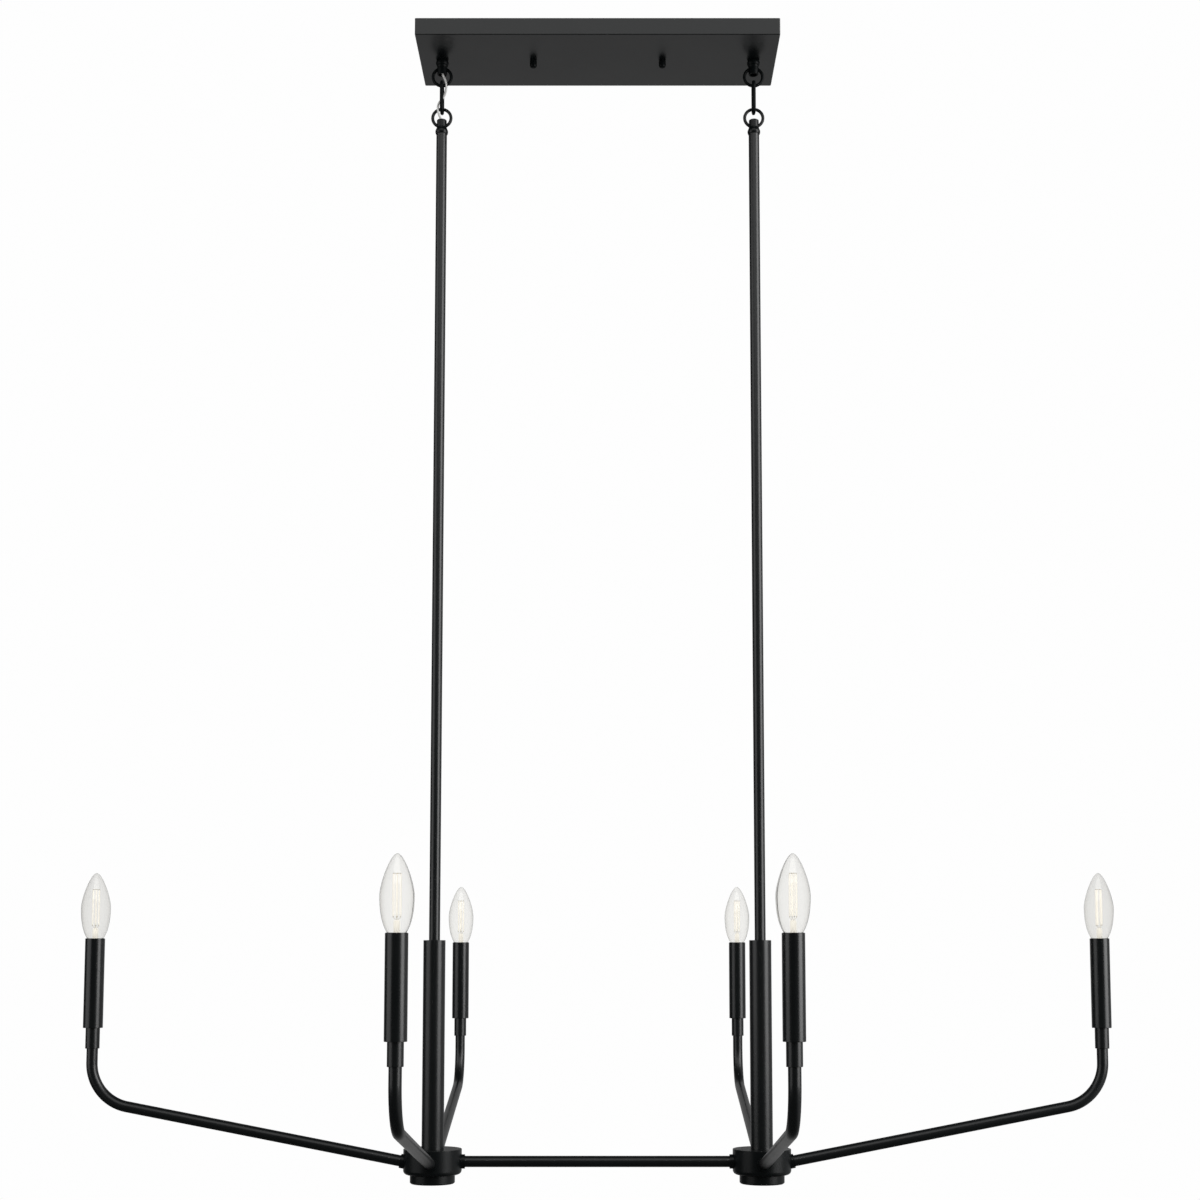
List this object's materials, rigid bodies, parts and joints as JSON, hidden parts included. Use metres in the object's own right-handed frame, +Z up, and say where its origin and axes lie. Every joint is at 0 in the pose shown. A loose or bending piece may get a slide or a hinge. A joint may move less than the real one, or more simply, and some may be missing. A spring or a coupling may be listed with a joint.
{
  "type": "linear island pendant",
  "caption": "Linear island pendant with a long ceiling canopy, rods hung on chain links, round hubs joined by a bar, and bent arms that carry clear candle lamps.",
  "frame": {"origin": "centre of the mounting strap's top face, which rests on the ceiling", "axes": "+Z up into the ceiling, X along the canopy and the bar, -Y is the front"},
  "size_m": [1.1282, 0.7726, 1.2823],
  "materials": {
    "black_paint": "satin black paint",
    "clear_glass": "clear",
    "lamp_base_metal": "plated",
    "filament": "cream coated strips",
    "zinc_plate": "zinc plated",
    "green_screw": "green ground screw",
    "socket_plastic": "moulded",
    "connector_plastic": "moulded",
    "cord_jacket": "pale translucent jacket"
  },
  "bodies": {
    "ceiling_assembly": {"canopy_pan": "black_paint", "mounting_strap": "zinc_plate", "strap_studs": "zinc_plate", "stud_lock_nuts": "zinc_plate", "canopy_thumb_nuts": "black_paint", "ground_screw": "green_screw", "canopy_loop_left": "black_paint", "canopy_loop_right": "black_paint", "loop_nipples": "zinc_plate", "loop_lock_washers": "zinc_plate", "loop_hex_nuts": "zinc_plate", "canopy_wiring": "cord_jacket", "wire_connectors": "connector_plastic", "supply_cord_upper": "cord_jacket"},
    "chain_link_left": {"link_left": "black_paint", "supply_cord_lower": "cord_jacket"},
    "chain_link_right": {"link_right": "black_paint"},
    "hanging_frame": {"rod_loop_left": "black_paint", "rod_loop_right": "black_paint", "rods_left": "black_paint", "rods_right": "black_paint", "threaded_nipples": "zinc_plate", "column_left": "black_paint", "column_right": "black_paint", "column_bushings": "black_paint", "hub_left": "black_paint", "hub_right": "black_paint", "hub_caps": "black_paint", "hub_lock_nuts": "zinc_plate", "centre_bar": "black_paint", "tube_collars": "black_paint", "candle_cups": "black_paint", "candle_sleeves": "black_paint", "lamp_sockets": "socket_plastic", "frame_wiring": "cord_jacket", "hub_connectors": "connector_plastic", "arm_left_end": "black_paint", "arm_left_front": "black_paint", "arm_left_back": "black_paint", "arm_right_end": "black_paint", "arm_right_front": "black_paint", "arm_right_back": "black_paint"},
    "lamp_left_end": {"lamp_glass_left_end": "clear_glass", "lamp_base_left_end": "lamp_base_metal", "lamp_filaments_left_end": "filament"},
    "lamp_left_front": {"lamp_glass_left_front": "clear_glass", "lamp_base_left_front": "lamp_base_metal", "lamp_filaments_left_front": "filament"},
    "lamp_left_back": {"lamp_glass_left_back": "clear_glass", "lamp_base_left_back": "lamp_base_metal", "lamp_filaments_left_back": "filament"},
    "lamp_right_end": {"lamp_glass_right_end": "clear_glass", "lamp_base_right_end": "lamp_base_metal", "lamp_filaments_right_end": "filament"},
    "lamp_right_front": {"lamp_glass_right_front": "clear_glass", "lamp_base_right_front": "lamp_base_metal", "lamp_filaments_right_front": "filament"},
    "lamp_right_back": {"lamp_glass_right_back": "clear_glass", "lamp_base_right_back": "lamp_base_metal", "lamp_filaments_right_back": "filament"}
  },
  "joints": [
    {"name": "link_left_swing", "type": "hinge", "parent": "ceiling_assembly", "child": "chain_link_left", "pos_m": [-0.1778, 0, -0.0489], "axis": [1, 0, 0], "range_deg": [-30, 30], "deforming": ["supply_cord_upper"]},
    {"name": "link_right_swing", "type": "hinge", "parent": "ceiling_assembly", "child": "chain_link_right", "pos_m": [0.1778, 0, -0.0489], "axis": [1, 0, 0], "range_deg": [-30, 30]},
    {"name": "frame_swing", "type": "hinge", "parent": "chain_link_left", "child": "hanging_frame", "pos_m": [-0.1778, 0, -0.0768], "axis": [1, 0, 0], "range_deg": [-20, 20], "deforming": ["supply_cord_lower"]},
    {"name": "lamp_left_end_out", "type": "slide", "parent": "hanging_frame", "child": "lamp_left_end", "axis": [0, 0, 1], "range_m": [0, 0.01]},
    {"name": "lamp_left_front_out", "type": "slide", "parent": "hanging_frame", "child": "lamp_left_front", "axis": [0, 0, 1], "range_m": [0, 0.01]},
    {"name": "lamp_left_back_out", "type": "slide", "parent": "hanging_frame", "child": "lamp_left_back", "axis": [0, 0, 1], "range_m": [0, 0.01]},
    {"name": "lamp_right_end_out", "type": "slide", "parent": "hanging_frame", "child": "lamp_right_end", "axis": [0, 0, 1], "range_m": [0, 0.01]},
    {"name": "lamp_right_front_out", "type": "slide", "parent": "hanging_frame", "child": "lamp_right_front", "axis": [0, 0, 1], "range_m": [0, 0.01]},
    {"name": "lamp_right_back_out", "type": "slide", "parent": "hanging_frame", "child": "lamp_right_back", "axis": [0, 0, 1], "range_m": [0, 0.01]}
  ],
  "couplings": [
    {"joint": "link_right_swing", "follows": "link_left_swing", "ratio": 1}
  ]
}
